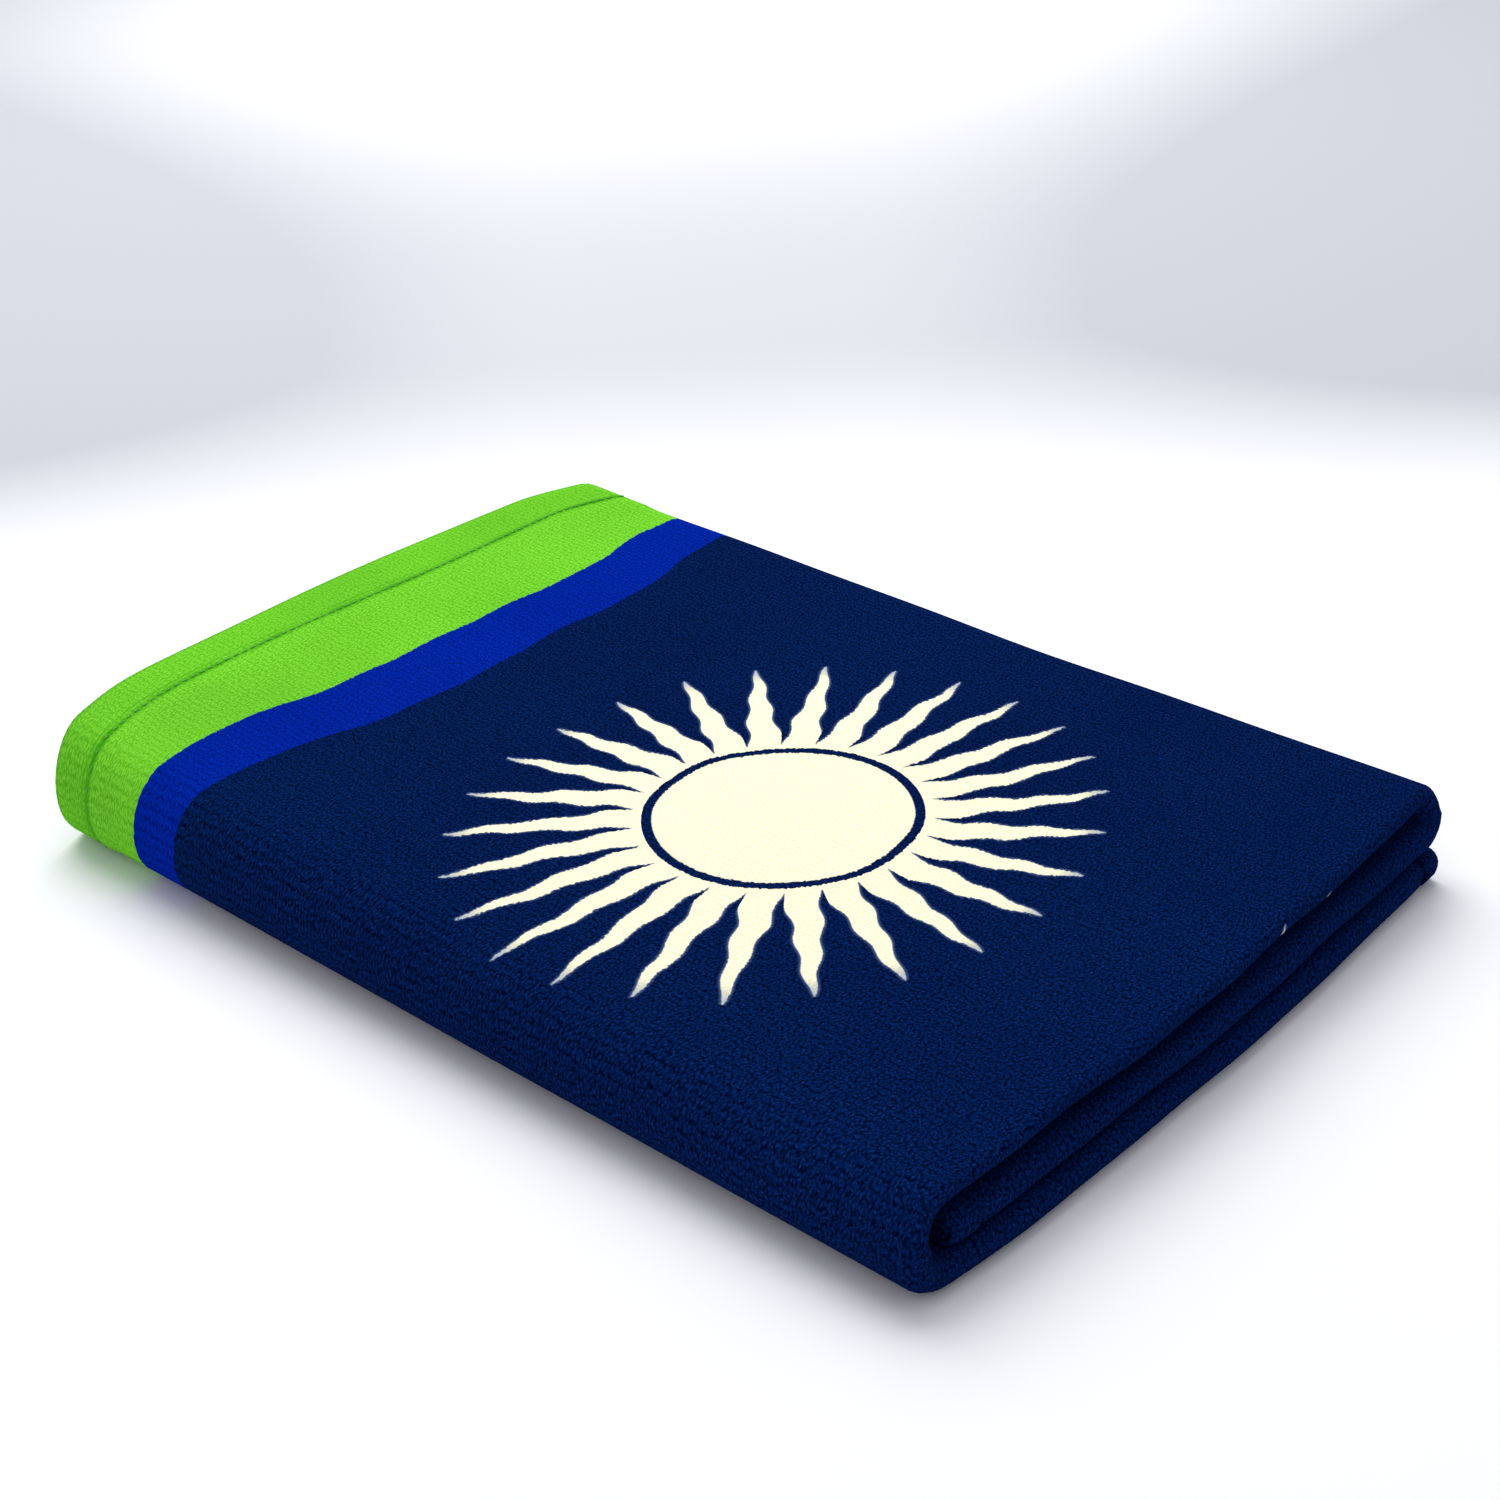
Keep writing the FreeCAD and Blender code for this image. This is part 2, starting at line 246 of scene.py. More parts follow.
@dataclass(frozen=True)
class Sun:
    """The woven sun: a disc, a dark ring and wavy rays, in millimetres."""

    along: float
    across: float
    disc_radius: float
    ring_radius: float
    tip_radius: float
    rays: int = 26
    turn: float = 0.75
    foot: float = 2.2
    half_width: float = 5.15
    taper: float = 0.66
    lean: float = 0.8
    sway: float = 0.75
    wave: float = 16.4
    crest: float = 50.5
    stretch: float = 0.045
    pitch: float = 236.5
    stagger: float = -51.0
    count: int = 5

    def draw(self, along: Value, across: Value, ragged: Value) -> tuple[Value, Value]:
        """Draw the row of suns.

        Args:
            along: Distance along the towel.
            across: Distance across the towel.
            ragged: Small shifts that follow the loops, about zero.

        Returns:
            The share of cream yarn, and of the pale mixed loops at the rays' edges and tips.
        """
        turns = (along - self.along) / self.pitch
        cell = (turns + 0.5).apply("FLOOR")
        odd = abs(cell.apply("MODULO", 2.0))
        x = (turns - cell) * self.pitch + ragged
        y = across - self.across - odd * self.stagger + ragged * 0.7
        radius = (x * x + y * y).apply("SQRT")
        disc = 1.0 - radius.step(self.disc_radius - 0.2, self.disc_radius + 0.2)
        foot = self.ring_radius + self.foot
        band = (radius > self.ring_radius) * (radius < foot + 0.3)
        pull = radius.step(self.ring_radius, self.tip_radius) * self.stretch
        ray_x, ray_y = x * (1.0 + pull), y * (1.0 - pull)
        reach = (ray_x * ray_x + ray_y * ray_y).apply("SQRT")
        run = ((reach - foot) / (self.tip_radius - foot)).apply("MAXIMUM", 0.0)
        run = run.apply("MINIMUM", 1.0)
        sector = ray_y.apply("ARCTAN2", ray_x) * (self.rays / (2 * math.pi)) + self.turn
        lateral = (sector.apply("FRACT") - 0.5) * (2 * math.pi / self.rays) * reach
        swing = ((reach - self.crest) * (2 * math.pi / self.wave)).apply("COSINE") * self.sway
        middle = swing * (1.0 - run * 0.5) + (1.0 - run) * self.lean
        edge = (1.0 - run) ** self.taper * self.half_width - abs(lateral - middle)
        zone = (radius > self.ring_radius) * (reach < self.tip_radius)
        row = (cell > -0.5) * (cell < self.count - 0.5)
        ray = edge.step(-0.15, 0.25) * zone
        cream = ray.apply("MAXIMUM", band).apply("MAXIMUM", disc) * row
        fade = run.step(0.80, 1.0)
        halo = edge.step(-1.0, 0.1) * zone * row * 0.35
        return cream * (1.0 - fade * 0.6), halo.apply("MAXIMUM", fade * cream)


@dataclass(frozen=True)
class Bands:
    """The green band and blue stripe at each end of the towel, in millimetres."""

    length: float
    green_width: float
    stripe_end: float
    hem_line: float
    rear_bow: float = 16.5
    front_bow: float = 6.5
    crest: float = 0.9
    spread: float = 4.0
    rear_reach: Span = (225.0, 310.0)
    front_reach: Span = (407.0, 455.0)
    spread_reach: Span = (333.0, 380.0)
    seam_crest: float = 337.0
    seam_wave: float = 30.0
    seam_sway: float = 1.6

    def seam(self, across: Value) -> Value:
        """Say how far from the end the hem's seam runs, which wanders a little."""
        swing = ((across - self.seam_crest) / self.seam_wave).apply("COSINE")
        return swing * self.seam_sway + self.hem_line

    def draw(self, along: Value, across: Value, ragged: Value) -> tuple[Value, Value, Value]:
        """Draw both ends' bands, which bow with the weave.

        Args:
            along: Distance along the towel.
            across: Distance across the towel.
            ragged: Small shifts that follow the loops, about zero.

        Returns:
            The shares of green and of blue yarn, and the distance from the nearer end.
        """
        rear = (1.0 - across.step(*self.rear_reach)) * self.rear_bow
        curve = self.crest - rear - across.step(*self.front_reach) * self.front_bow
        from_end = along.apply("MINIMUM", self.length - along)
        place = from_end - curve + ragged
        wider = (across.step(*self.spread_reach) - 0.5) * self.spread
        green = 1.0 - place.step(self.green_width - 0.2, self.green_width + 0.2)
        both = 1.0 - (place - wider).step(self.stripe_end - 0.2, self.stripe_end + 0.2)
        return green, both - green, from_end


@dataclass(frozen=True)
class Terry:
    """The terry cloth's finish: its pattern and its pile of fine loops."""

    bands: Bands
    sun: Sun
    palette: Palette = Palette()
    rib: float = 2.2
    loop: float = 1.5
    second_row: float = 3.4
    second_reach: Span = (300.0, 360.0)
    patch_scale: float = 13.0
    ripple_scale: float = 45.0
    drift_scale: float = 180.0
    wander_scale: float = 260.0
    fuzz_scale: float = 950.0
    cell_scale: float = 1050.0
    highlight_fleck_scale: float = 1500.0
    nap_scale: float = 1900.0

    def build(self) -> bpy.types.Material:
        """Build the material.

        Returns:
            The terry material, which reads the sheet's own flat measures.
        """
        kit = NodeKit("terry_cloth")
        flat = kit.add("ShaderNodeUVMap", {"uv_map": "flat"}).out()
        parts = kit.add("ShaderNodeSeparateXYZ", {}, {0: flat})
        along, across = parts.out("X") * 1000.0, parts.out("Y") * 1000.0
        fuzz = kit.noise(flat, self.fuzz_scale, 1.0) - 0.5
        wander = kit.noise(flat, self.wander_scale, 2.0) - 0.5
        row = (across / self.rib).apply("FLOOR")
        step = (row * ROW_HASH).apply("SINE") * 0.45
        ragged = fuzz * 1.7 + wander * 1.1 + step
        green, stripe, from_end = self.bands.draw(along, across, ragged)
        cream, mixed = self.sun.draw(along, across, ragged * 0.8)
        ribs, loops, grain = self._pile(kit, flat, along, across)
        # Each yarn mixes its lit tip colour with its gap colour, which is painted shade, by the
        # pile's height.
        light = (loops * 0.36 + ribs * 0.10 + grain * 0.66).step(0.12, 1.0)
        navy, blue, lime, pale = (kit.mix(light, yarn.gap, yarn.tip) for yarn in (
            self.palette.navy, self.palette.blue, self.palette.green, self.palette.cream))
        colour = kit.mix(stripe, navy, blue)
        # Pale blue specks scattered over the navy are painted highlights on the loops.
        highlight_fleck = kit.noise(flat, self.highlight_fleck_scale, 2.0).step(0.54, 0.70) * 0.62
        colour = kit.mix(highlight_fleck * (1.0 - stripe), colour, self.palette.highlight_fleck)
        colour = kit.mix(green, colour, lime)
        colour = kit.mix(mixed, colour, self.palette.mixed_loops)
        colour = kit.mix(cream, colour, pale)
        # Broad darker patches of painted shade, where the pile lies another way.
        nap_shade_patch = kit.noise(flat, self.patch_scale, 3.0).step(0.30, 0.72) * 0.34
        colour = kit.mix(nap_shade_patch * (1.0 - cream), colour, self._shade(kit, colour))
        ripple = kit.noise(flat, self.ripple_scale, 2.0) - 0.5
        past_seam = from_end - self.bands.seam(across) - wander * 1.6
        # Painted shade along the seam's groove and a second groove beside it; the turned hem beyond
        # is slightly darker.
        dark = self._seam_shade(past_seam, across, fuzz, ripple)
        colour = kit.mix(dark * green, colour, self.palette.groove)
        pile = loops * 0.50 + ribs * 0.18 + grain * 0.90 + cream * 0.35
        bump = kit.add("ShaderNodeBump", {}, {
            "Strength": 0.40, "Distance": 0.0004, "Height": pile}).out()
        return kit.surface(
            {"Specular IOR Level": 0.0, "Sheen Weight": 0.004, "Sheen Roughness": 0.5},
            {"Base Color": colour, "Roughness": 0.86 + grain * 0.12, "Normal": bump},
        )

    def _seam_shade(self, past_seam: Value, across: Value, fuzz: Value, ripple: Value) -> Value:
        """Say how much painted shade falls in the seam's groove and in a second groove beside it,
        and how much darker the turned hem beyond it is.

        Args:
            past_seam: Distance from the hem's seam, towards the towel's middle.
            across: Distance across the towel.
            fuzz: Small changes that follow the loops, about zero.
            ripple: Slower changes along the seam, about zero.

        Returns:
            The share of the groove's painted shade colour.
        """
        # Painted shade in the seam's groove, uneven along it.
        shaded_seam = (1.0 - abs(past_seam).step(0.2, 2.8)) * (0.70 + fuzz + ripple * 1.8)
        second = 1.0 - abs(past_seam + self.second_row).step(0.1, 0.9)
        shaded_seam = shaded_seam + second * across.step(*self.second_reach) * (0.35 + ripple)
        turned = 1.0 - past_seam.step(-2.0, 2.5)
        return shaded_seam * 0.9 + turned * 0.13

    def _shade(self, kit: NodeKit, colour: Value) -> Value:
        """Darken a colour with painted shade for places where the pile lies another way."""
        settings = {"data_type": "RGBA", "blend_type": "MULTIPLY"}
        inputs = {0: 1.0, 6: colour, 7: self.palette.laid_nap_shade}
        return kit.add("ShaderNodeMix", settings, inputs).out(2)

    def _pile(self, kit: NodeKit, flat: Value, along: Value,
              across: Value) -> tuple[Value, Value, Value]:
        """Make the ribs that run along the towel, the loops on them and finer grain.

        Args:
            kit: The material's node kit.
            flat: The sheet's flat coordinates.
            along: Distance along the towel in millimetres.
            across: Distance across the towel in millimetres.

        Returns:
            Heights from 0 to 1 of the ribs, the loops and the grain.
        """
        drift = kit.noise(flat, self.drift_scale, 1.0) - 0.5
        row = across / self.rib + drift * 0.5
        ribs = abs((row * math.pi).apply("SINE"))
        step = along / self.loop + row.apply("FLOOR") * 0.5 + drift * 1.8
        loops = abs((step * math.pi).apply("SINE")) * (0.4 + ribs * 0.6)
        settings = {"voronoi_dimensions": "2D", "feature": "F1"}
        inputs = {"Vector": flat, "Scale": self.cell_scale, "Randomness": 1.0}
        cells = kit.add("ShaderNodeTexVoronoi", settings, inputs).out("Distance")
        nap = kit.noise(flat, self.nap_scale, 2.0)
        grain = (0.95 - cells * 1.1 + (nap - 0.5) * 0.9).step(0.10, 1.0)
        return ribs, loops, grain


@dataclass(frozen=True)
class Thread:
    """Twisted sewing thread."""

    name: str
    colour: Colour

    def build(self) -> bpy.types.Material:
        """Build the thread's material, with a fine twist whose grooves get painted shade."""
        kit = NodeKit(self.name)
        place = kit.add("ShaderNodeTexCoord").out("Object")
        settings = {"wave_type": "BANDS", "bands_direction": "DIAGONAL"}
        inputs = {"Vector": place, "Scale": 900.0, "Distortion": 1.0}
        twist = kit.add("ShaderNodeTexWave", settings, inputs).out("Fac")
        # The twist's darker bands are painted shade in the grooves between its strands.
        dark = tuple(0.45 * c for c in self.colour[:3]) + (1,)
        colour = kit.mix(twist, dark, self.colour)
        bump = kit.add("ShaderNodeBump", {}, {
            "Strength": 0.4, "Distance": 0.0001, "Height": twist}).out()
        rough = 0.5 + twist * 0.2
        return kit.surface(
            {"Sheen Weight": 0.1}, {"Base Color": colour, "Roughness": rough, "Normal": bump})


@dataclass(frozen=True)
class Satin:
    """Woven satin ribbon of the blank care label."""

    colour: Colour = (0.86, 0.86, 0.83, 1)

    def build(self) -> bpy.types.Material:
        """Build the ribbon's material, with fine crosswise ribs and painted shade between them."""
        kit = NodeKit("label_satin")
        place = kit.add("ShaderNodeTexCoord").out("Object")
        weave = kit.add("ShaderNodeTexWave", {"bands_direction": "Z"}, {
            "Vector": place, "Scale": 700.0, "Distortion": 0.5}).out("Fac")
        # The darker bands between the ribs are painted shade.
        dark = tuple(0.8 * c for c in self.colour[:3]) + (1,)
        colour = kit.mix(weave, dark, self.colour)
        bump = kit.add("ShaderNodeBump", {}, {
            "Strength": 0.3, "Distance": 0.0001, "Height": weave}).out()
        rough = 0.38 + weave * 0.15
        return kit.surface({}, {"Base Color": colour, "Roughness": rough, "Normal": bump})


# ---- the folds


@dataclass
class Track:
    """A line in a plane, drawn by straight runs and turns, with its length kept."""

    points: list = field(default_factory=list)

    def start(self, a: float, b: float) -> "Track":
        """Put the first point."""
        self.points = [(a, b)]
        return self

    def run(self, a: float, b: float, step: float) -> "Track":
        """Draw a straight run to a point in steps of about the given size."""
        a0, b0 = self.points[-1]
        count = max(1, round(math.hypot(a - a0, b - b0) / step))
        for i in range(1, count + 1):
            share = i / count
            self.points.append((a0 + share * (a - a0), b0 + share * (b - b0)))
        return self

    def turn(self, a: float, b: float, degrees: float, count: int) -> "Track":
        """Turn about a centre from the last point by an angle, anticlockwise if positive."""
        a0, b0 = self.points[-1]
        radius, first = math.hypot(a0 - a, b0 - b), math.atan2(b0 - b, a0 - a)
        for i in range(1, count + 1):
            angle = first + math.radians(degrees) * i / count
            self.points.append((a + radius * math.cos(angle), b + radius * math.sin(angle)))
        return self

    def arrays(self) -> tuple[np.ndarray, np.ndarray, np.ndarray]:
        """Return the points, the unit normals to the left of travel, and the lengths."""
        points = np.array(self.points)
        ahead = np.gradient(points, axis=0)
        ahead /= np.linalg.norm(ahead, axis=1)[:, None]
        normals = np.column_stack((-ahead[:, 1], ahead[:, 0]))
        steps = np.linalg.norm(np.diff(points, axis=0), axis=1)
        return points, normals, np.concatenate(([0.0], np.cumsum(steps)))


def smooth(values: np.ndarray, low: float, high: float) -> np.ndarray:
    """Rise smoothly from 0 at low to 1 at high."""
    share = np.clip((values - low) / (high - low), 0.0, 1.0)
    return share * share * (3.0 - 2.0 * share)


def pick(at: np.ndarray, lengths: np.ndarray, pairs: np.ndarray) -> np.ndarray:
    """Read pairs kept along a track at any lengths along it."""
    return np.column_stack([np.interp(at, lengths, pairs[:, i]) for i in (0, 1)])


@dataclass(frozen=True)
class Settling:
    """How the ideal folds sink and spread as the towel settles.

    The drop, rise, lean, slopes, crowns, twist and the plain skew are shares. Every shift, every
    skew named with one, the bows, the lift, the waves and the reaches are in millimetres. Each bow
    is a shift, a skew and a curve across the towel, then extra at its rear and front corner.
    """

    shoulder_drop: float = 0.051
    front_rise: float = 0.036
    front_lean: float = 0.08
    lean_level: float = 0.457
    rear_shift: float = -3.64
    rear_skew: float = -0.07
    front_shift: float = 5.5
    front_skew: float = -2.5
    plumpness: float = 1.06
    slope_along: float = -0.155
    slope_across: float = 0.049
    crown_along: float = 0.039
    crown_across: float = 0.046
    twist: float = 0.037
    skew: float = 0.041
    skew_fade: float = 0.0245
    left_bow: tuple[float, ...] = (1.66, -10.2, 13.4, 8.1, 7.9)
    right_bow: tuple[float, ...] = (2.0, 12.6, 4.2, -0.7, 1.1)
    lift: float = 0.4
    side_from: float = 40.0
    end_from: float = 60.0
    rise_from: float = 25.0
    shoulder: float = 50.0
    lean_reach: Span = (26.0, 62.0)
    wrinkle: float = 0.7
    ripple: float = 0.35

    @staticmethod
    def bow(shape: tuple[float, ...], across: np.ndarray) -> np.ndarray:
        """Say how far an end stands out at each place across the towel."""
        shift, skew, curve, rear, front = shape
        far, close = smooth(across, 0.7, 1.05), smooth(-across, 0.7, 1.05)
        return shift + skew * across + curve * across**2 + rear * far + front * close


@dataclass
class FoldedTowel:
    """The towel's folds and its settled shape, in millimetres of the frame."""

    half_length: float = 191.0
    half_width: float = 125.0
    height: float = 29.8
    ply: float = 2.45
    gap: float = 0.2
    hem: float = 22.3
    spare: float = 6.0
    ease: float = 8.0
    side_ease: float = 4.0
    end_zone: float = 150.0
    tip: float = 0.01
    side_hem: float = 8.0
    tucked_edge: float = -109.0
    rear_edge: float = 122.0
    cloth: float = 1.75
    hem_turn: float = 0.68
    side_turn: float = 0.55
    settling: Settling = Settling()

    @classmethod
    def from_frame(cls) -> "FoldedTowel":
        """Read the folded sizes from the frame's own nodes."""
        high = np.array(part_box("navy_field")[1]) / MM
        hem_low, hem_high = (np.array(corner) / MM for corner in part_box("outer_end_hem"))
        inner = np.array(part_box("second_quarter")[1]) / MM
        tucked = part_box("tucked_side_hem")[0][1] / MM
        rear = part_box("rear_side_hem")[1][1] / MM
        ply = high[2] - inner[2]
        return cls(
            half_length=-hem_low[0], half_width=high[1], height=high[2], ply=ply,
            gap=(high[2] - 12 * ply) / 2, hem=hem_high[0] - hem_low[0] + 0.3,
            tucked_edge=tucked, rear_edge=rear,
        )

    def along(self, fine: float, coarse: float) -> Track:
        """Draw the crosswise folds: distance along X against depth in the packet.

        Args:
            fine: Step on the outer quarter.
            coarse: Step on the three hidden quarters.

        Returns:
            The track from the raw end in the outer hem to the raw end in the inner hem.
        """
        ply, left = self.ply, -self.half_length
        right = self.half_length - 2 * ply
        turn = self.hem_turn
        raw = left + self.hem + self.spare
        level = raw + 1.0
        upper, lower = 0.5 * ply - turn, 0.5 * ply + turn
        left_turn = left + turn + self.cloth * 0.32
        middle_left = left + ply + 1.0
        track = Track().start(raw, lower)
        track.run(left_turn, lower, 5.0).turn(left_turn, 0.5 * ply, -180, 6)
        track.run(level, upper, fine).run(level + self.ease, 0.5 * ply, fine / 2)
        track.run(right, 0.5 * ply, fine).turn(right, 2 * ply, 180, 9)
        track.run(middle_left, 3.5 * ply, coarse).turn(middle_left, 3 * ply, -180, 5)
        track.run(right, 2.5 * ply, coarse).turn(right, 2 * ply, -180, 5)
        inner_low, inner_high = 1.5 * ply + turn, 1.5 * ply - turn
        track.run(level + self.ease, 1.5 * ply, coarse).run(level, inner_high, coarse / 2)
        left_turn += 1.5
        track.run(left_turn, inner_high, 5.0).turn(left_turn, 1.5 * ply, 180, 6)
        return track.run(raw, inner_low, 5.0)

    def across(self, fine: float, coarse: float) -> tuple[Track, np.ndarray, np.ndarray]:
        """Draw the folds in thirds: the packet's outer face in the plane across the towel.

        Args:
            fine: Step on the top third.
            coarse: Step on the two hidden thirds.

        Returns:
            The outer face's track from one raw side edge to the other, the cloth's shift to
            either side of its ply's middle where the sides are turned, and which of the
            track's points belong to a turned side, its fold's tip included.
        """
        packet = 4 * self.ply
        low = packet + self.gap
        rear_radius, front_radius = packet + self.gap / 2, self.height / 2
        rear_y = self.half_width - rear_radius
        front_y = -self.half_width + front_radius
        hem, turn = self.side_hem, self.side_turn
        count = 4
        track = Track().start(self.tucked_edge + hem, low).run(self.tucked_edge, low, hem / count)
        track.run(self.tucked_edge - self.tip, low, 1.0)
        track.run(self.tucked_edge + hem + self.side_ease, low, hem / count)
        track.run(rear_y, low, coarse).turn(rear_y, low + rear_radius, 180, 10)
        track.run(front_y, self.height, fine).turn(front_y, self.height - front_radius, 180, 16)
        track.run(self.rear_edge - hem - self.side_ease, 0.0, coarse)
        track.run(self.rear_edge, 0.0, hem / count)
        track.run(self.rear_edge + self.tip, 0.0, 1.0)
        track.run(self.rear_edge - hem, 0.0, hem / count)
        rows = len(track.points)
        shift = np.zeros(rows)
        inward = np.concatenate((np.full(count, -1.0), (0.0,), np.full(count + 2, 1.0)))
        shift[: len(inward)] = inward * turn
        shift[-len(inward):] = inward[::-1] * turn
        turned = np.zeros(rows, dtype=bool)
        turned[: len(inward)] = turned[-len(inward):] = True
        return track, shift, turned

    def settle(self, places: np.ndarray) -> np.ndarray:
        """Let the ideal folds settle into the towel's real, uneven shape.

        Args:
            places: Points of the ideal folds.

        Returns:
            The same points after the towel has settled.
        """
        form = self.settling
        x, y, z = (places[..., i].copy() for i in range(3))
        run, across = x / self.half_length, y / self.half_width
        level = z / self.height
        half = self.half_width
        near, rear = smooth(-y, form.side_from, half), smooth(y, form.side_from, half)
        shoulder = smooth(-y, half - form.shoulder, half)
        front = smooth(-y, form.rise_from, half)
        z *= 1.0 - form.shoulder_drop * shoulder + form.front_rise * front
        bend = 1.0 - smooth(y, *(reach - half for reach in form.lean_reach))
        y += bend * form.front_lean * (z - form.lean_level * self.height)
        y += (form.rear_shift + form.rear_skew * run) * rear
        y -= (form.front_shift + form.front_skew * run) * near
        slope = form.slope_along * run + form.slope_across * across
        crown = form.crown_along * run**2 + form.crown_across * across**2
        z *= form.plumpness + slope + crown + form.twist * run * across
        x -= across * half * (form.skew - form.skew_fade * (run + 1.0))
        left = smooth(-x, form.end_from, self.half_length)
        right = smooth(x, form.end_from, self.half_length)
        x += left * form.bow(form.left_bow, across)
        x -= right * form.bow(form.right_bow, across)
        end = smooth(x, self.end_zone, self.half_length)
        wave = form.wrinkle * np.sin(y / 17.0 + level * 3.0)
        wave += form.ripple * np.sin(y / 7.3 + level * 8.0)
        x += end * wave * (0.35 + 0.65 * smooth(level, 0.2, 0.7))
        z += np.clip(level, 0.0, 1.0) * self._swell(x, y)
        z += form.lift * (1.0 - np.clip(3.0 * level, 0.0, 1.0))
        return np.stack((x, y, np.maximum(z, 0.0)), axis=-1)

    def _swell(self, x: np.ndarray, y: np.ndarray) -> np.ndarray:
        """Low, broad swells of the upper face."""
        return (
            0.42 * np.sin(x / 61.0 + 0.7) * np.sin(y / 43.0 + 1.9)
            + 0.28 * np.sin(x / 27.0 - y / 39.0 + 0.4)
            + 0.16 * np.sin(x / 14.0 + y / 17.0 + 2.2)
        )


@dataclass
class Sheet:
    """The one terry sheet, laid along both folds."""

    towel: FoldedTowel
    fine: float = 3.7
    coarse: float = 9.0
    setback: float = 1.8
    overhang: float = 0.85
    hem_thin: float = 0.58
    side_thin: float = 0.48
    hem_fade: float = 12.0
    side_fade: float = 8.0
    corner: float = 4.0

    def __post_init__(self) -> None:
        """Work out the two tracks once."""
        towel = self.towel
        self.row, self.row_out, self.row_length = towel.along(self.fine, self.coarse).arrays()
        self.edge = int(np.argmin(self.row[: len(self.row) // 2, 0]))
        self.row_length = self.row_length - self.row_length[self.edge]
        track, self.shift, turned = towel.across(self.fine, self.coarse)
        self.face, self.face_out, _ = track.arrays()
        self._fix_turned_normals(turned)
        middle = self.face + self.face_out * 2 * towel.ply
        steps = np.linalg.norm(np.diff(middle, axis=0), axis=1)
        self.face_length = np.concatenate(([0.0], np.cumsum(steps)))
        rise = smooth(self.face[:, 1], 4 * towel.ply + towel.gap, towel.height)
        tucked = np.arange(len(self.face)) < np.argmax(self.face[:, 1])
        kept = 1.0 - 0.7 * smooth(self.face[:, 0], 40.0, towel.half_width)
        self.back = np.where(tucked, self.setback * (1.0 - rise) * kept, 0.0)

    def _fix_turned_normals(self, turned: np.ndarray) -> None:
        """Give the turned side hems the same inward direction as the cloth beside them."""
        plain = np.nonzero(~turned)[0]
        half = len(turned) // 2
        self.face_out[:half][turned[:half]] = self.face_out[plain[plain < half][2]]
        self.face_out[half:][turned[half:]] = self.face_out[plain[plain >= half][-3]]

    def place(self) -> np.ndarray:
        """Place the sheet's points on the folded towel, one row for each crosswise point."""
        row, row_out = self.row, self.row_out
        shift = self.shift[None, :] * self._hem_share(row)[:, None]
        x = row[:, 0][:, None] + row_out[:, 0][:, None] * shift
        depth = row[:, 1][:, None] + row_out[:, 1][:, None] * shift
        y = self.face[:, 0][None, :] + self.face_out[:, 0][None, :] * depth
        z = self.face[:, 1][None, :] + self.face_out[:, 1][None, :] * depth
        x = self._end_shape(x, depth, self.back[None, :], self.face_out[:, 1][None, :])
        return self.towel.settle(np.stack((x, y, z), axis=-1))

    def _end_shape(self, x: np.ndarray, depth: np.ndarray, back: np.ndarray,
                   inward: np.ndarray) -> np.ndarray:
        """Set the tucked packet back at the folded end and let each packet's top overhang."""
        lean = self.overhang * depth * np.clip(-inward, 0.0, 1.0)
        return x - (lean + back) * smooth(x, self.towel.end_zone, self.towel.half_length)

    def _hem_share(self, row: np.ndarray) -> np.ndarray:
        """Share of the side hems' shift left where the end hems are turned as well."""
        inside = row[:, 0] + self.towel.half_length < self.towel.hem + self.corner
        return np.where(inside & (row[:, 1] < self.towel.ply * 2), 0.5, 1.0)

    def build(self) -> bpy.types.Object:
        """Build the sheet as one closed mesh with its flat measures as its UV map.

        Returns:
            The finished object.
        """
        places = self.place() * MM
        rows, columns = places.shape[:2]
        index = np.arange(rows * columns).reshape(rows, columns)
        faces = np.stack(
            (index[:-1, :-1], index[:-1, 1:], index[1:, 1:], index[1:, :-1]), axis=-1
        ).reshape(-1, 4)
        sheet = new_piece("terry_sheet", places.reshape(-1, 3).tolist(), faces.tolist())
        flat = np.stack(
            np.meshgrid(self.row_length * MM, self.face_length * MM, indexing="ij"), axis=-1
        ).reshape(-1, 2)
        layer = sheet.data.uv_layers.new(name="flat")
        layer.data.foreach_set("uv", flat[faces.reshape(-1)].reshape(-1))
        group = sheet.vertex_groups.new(name="full")
        weights = self._thickness()
        for weight in np.unique(weights):
            group.add(index[weights == weight].tolist(), float(weight), "REPLACE")
        thicken(sheet, self.towel.cloth, "full")
        return sheet

    def _thickness(self) -> np.ndarray:
        """Share of the cloth's full thickness at each point: less where it is turned."""
        nearest = np.minimum(
            self.row_length - self.row_length[0], self.row_length[-1] - self.row_length)
        doubled = 2 * (self.towel.hem + self.towel.spare)
        thinned = 1.0 - smooth(nearest, doubled, doubled + self.hem_fade)
        ends = 1.0 - (1.0 - self.hem_thin) * thinned
        side = np.minimum(self.face_length, self.face_length[-1] - self.face_length)
        turned = 2 * self.towel.side_hem
        flat = smooth(side, turned, turned + self.side_fade)
        sides = self.side_thin + (1.0 - self.side_thin) * flat
        return np.round(ends[:, None] * sides[None, :], 2)

